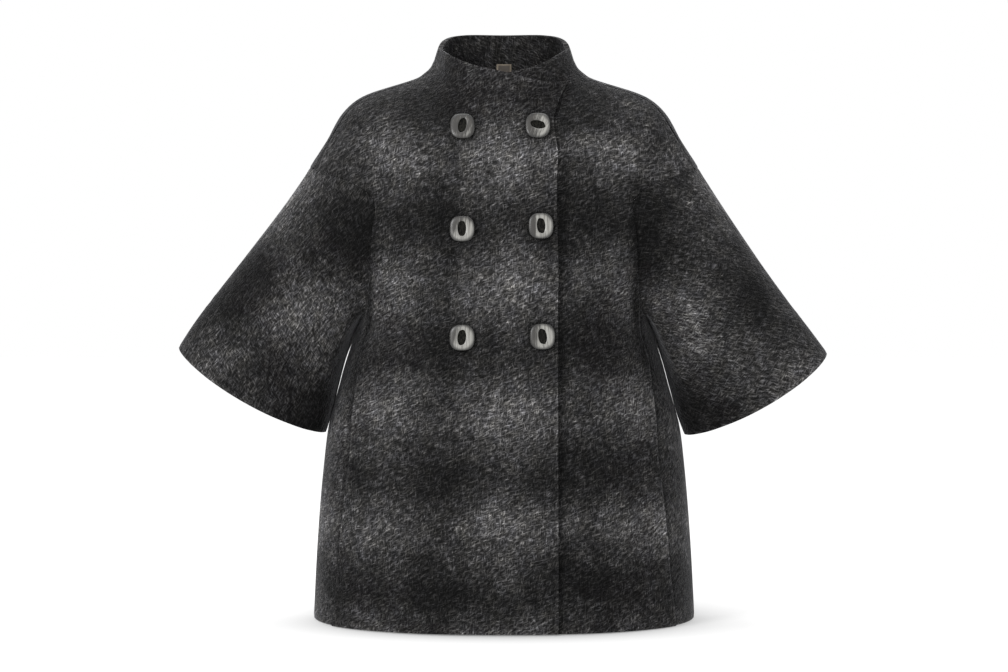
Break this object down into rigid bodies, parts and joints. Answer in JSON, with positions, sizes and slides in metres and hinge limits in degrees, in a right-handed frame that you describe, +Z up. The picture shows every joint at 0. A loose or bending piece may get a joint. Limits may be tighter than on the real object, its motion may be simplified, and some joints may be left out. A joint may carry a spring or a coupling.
{
  "type": "overcoat",
  "caption": "Short A-line wool overcoat with a funnel collar, wide three-quarter sleeves and a double-breasted front, filled out as if worn.",
  "frame": {"origin": "centre of the neck's base, level with the inner ends of the shoulders, where the wearer's shoulders carry the coat", "axes": "+Z up, -Y out of the front of the coat, +X to the viewer's right as the front is seen, which is the wearer's left"},
  "size_m": [0.954, 0.3692, 0.8785],
  "materials": {
    "felted_wool": "brushed, felted coating with a blurred shadow check",
    "grey_horn": "polished grey horn, streaked along the grain",
    "woven_label": "bare woven tape"
  },
  "bodies": {
    "root": {"front_right": "felted_wool", "front_left": "felted_wool", "side_right": "felted_wool", "side_left": "felted_wool", "back": "felted_wool", "collar_back": "felted_wool", "sleeve_front_right": "felted_wool", "sleeve_back_right": "felted_wool", "sleeve_front_left": "felted_wool", "sleeve_back_left": "felted_wool", "button_top_outer": "grey_horn", "button_top_inner": "grey_horn", "button_middle_outer": "grey_horn", "button_middle_inner": "grey_horn", "button_bottom_outer": "grey_horn", "button_bottom_inner": "grey_horn", "neck_label": "woven_label"}
  },
  "joints": []
}
